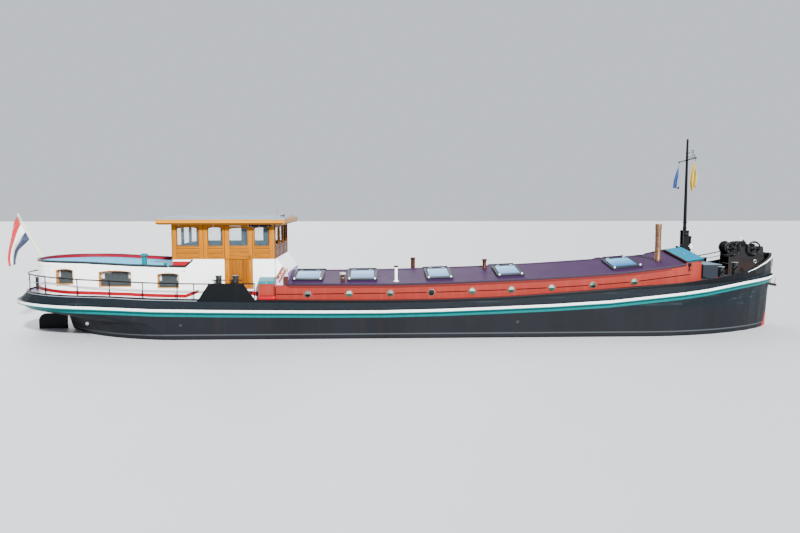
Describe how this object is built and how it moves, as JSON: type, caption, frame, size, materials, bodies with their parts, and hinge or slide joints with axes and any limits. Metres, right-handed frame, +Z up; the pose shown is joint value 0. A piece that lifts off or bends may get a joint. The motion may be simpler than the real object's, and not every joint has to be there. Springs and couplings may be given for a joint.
{
  "type": "river barge",
  "caption": "Steel river barge with an aft cabin, a wooden wheelhouse, a roofed hold, a lowering mast and a bow windlass.",
  "frame": {"origin": "on the flat bottom of the hull, amidships on the centreline", "axes": "+X towards the bow, +Y to port, +Z up"},
  "size_m": [25.8873, 4.8, 7.2],
  "materials": {
    "hull_paint": "worn satin anthracite",
    "white_paint": "satin white",
    "black_paint": "satin black",
    "red_paint": "satin brick red",
    "plum_paint": "matt plum",
    "turquoise_paint": "satin turquoise",
    "teal_paint": "gloss teal",
    "roof_paint": "matt grey blue",
    "varnished_wood": "gloss varnish",
    "window_glass": "clear",
    "copper": "weathered copper",
    "bronze": "cast bronze",
    "galvanised_steel": "weathered zinc",
    "cream_paint": "satin cream",
    "flag_cloth_red": "woven flag cloth in red, white and blue",
    "flag_cloth_blue": "woven flag cloth in blue",
    "flag_cloth_yellow": "woven flag cloth in yellow with dark specks"
  },
  "bodies": {
    "root": {"hull": "hull_paint", "rubbing_strake": "white_paint", "bulwark": "hull_paint", "side_bulwark_starboard": "black_paint", "side_bulwark_port": "black_paint", "side_bollards_starboard": "black_paint", "side_bollards_port": "black_paint", "bow_bollards_starboard": "black_paint", "bow_bollards_port": "black_paint", "cabin_walls": "white_paint", "aft_roof": "turquoise_paint", "roof_rim": "red_paint", "aft_vent": "teal_paint", "aft_small_vent": "teal_paint", "wheelhouse_floor": "varnished_wood", "wheelhouse_walls": "varnished_wood", "wheelhouse_roof": "roof_paint", "glazing_aft": "window_glass", "glazing_fore": "window_glass", "helm_console": "varnished_wood", "hold_coaming": "red_paint", "hold_roof": "plum_paint", "front_apron": "white_paint", "mushroom_vent": "roof_paint", "vent_pipe": "white_paint", "far_vent_pipe": "copper", "copper_vent": "copper", "copper_flue": "copper", "tabernacle": "black_paint", "windlass_frame": "black_paint", "anchor": "galvanised_steel", "stern_rail_starboard": "black_paint", "stern_rail_port": "black_paint", "deck_box": "red_paint", "stern_bollard": "black_paint", "steps": "varnished_wood", "fore_locker": "roof_paint", "bow_rail_port": "black_paint", "flagstaff": "cream_paint", "ensign": "flag_cloth_red"},
    "rudder": {"rudder": "hull_paint"},
    "propeller": {"propeller": "bronze"},
    "steering_wheel": {"steering_wheel": "varnished_wood"},
    "door_starboard": {"door_starboard": "varnished_wood", "door_pane_starboard": "window_glass"},
    "door_port": {"door_port": "varnished_wood", "door_pane_port": "window_glass"},
    "mast": {"mast": "black_paint", "pennant_port": "flag_cloth_blue", "pennant_starboard": "flag_cloth_yellow"},
    "windlass_drum": {"windlass_drum": "black_paint"},
    "windlass_wheel": {"windlass_wheel": "black_paint"},
    "fore_hatch_lid": {"fore_hatch_lid": "teal_paint"},
    "deck_box_lid": {"deck_box_lid": "teal_paint"}
  },
  "joints": [
    {"name": "rudder_turn", "type": "hinge", "parent": "root", "child": "rudder", "pos_m": [-11.25, 0, 0.5], "axis": [0, 0, 1], "range_deg": [-35, 35]},
    {"name": "propeller_spin", "type": "hinge", "parent": "root", "child": "propeller", "pos_m": [-10.75, 0, 0.47], "axis": [1, 0, 0], "continuous": true},
    {"name": "wheel_turn", "type": "hinge", "parent": "root", "child": "steering_wheel", "pos_m": [-4.7, 0, 3.17], "axis": [1, 0, 0], "range_deg": [-540, 540]},
    {"name": "door_starboard_swing", "type": "hinge", "parent": "root", "child": "door_starboard", "pos_m": [-5.652, -1.652, 3.3], "axis": [0, 0, 1], "range_deg": [0, 90]},
    {"name": "door_port_swing", "type": "hinge", "parent": "root", "child": "door_port", "pos_m": [-5.652, 1.652, 3.3], "axis": [0, 0, -1], "range_deg": [0, 90]},
    {"name": "mast_lower", "type": "hinge", "parent": "root", "child": "mast", "pos_m": [9.57, 0, 3.98], "axis": [0, -1, 0], "range_deg": [0, 85]},
    {"name": "windlass_drum_spin", "type": "hinge", "parent": "root", "child": "windlass_drum", "pos_m": [11.1, 0, 3.54], "axis": [0, 1, 0], "continuous": true},
    {"name": "windlass_wheel_spin", "type": "hinge", "parent": "root", "child": "windlass_wheel", "pos_m": [11.79, 0, 3.54], "axis": [0, 1, 0], "continuous": true},
    {"name": "fore_hatch_slide", "type": "slide", "parent": "root", "child": "fore_hatch_lid", "axis": [-0.9893, 0, -0.1462], "range_m": [0, 0.45]},
    {"name": "deck_box_lid_lift", "type": "hinge", "parent": "root", "child": "deck_box_lid", "pos_m": [-4.3275, -1.768, 2.7525], "axis": [-1, 0, 0], "range_deg": [0, 73]}
  ],
  "couplings": [
    {"joint": "wheel_turn", "follows": "rudder_turn", "ratio": 15.4}
  ]
}
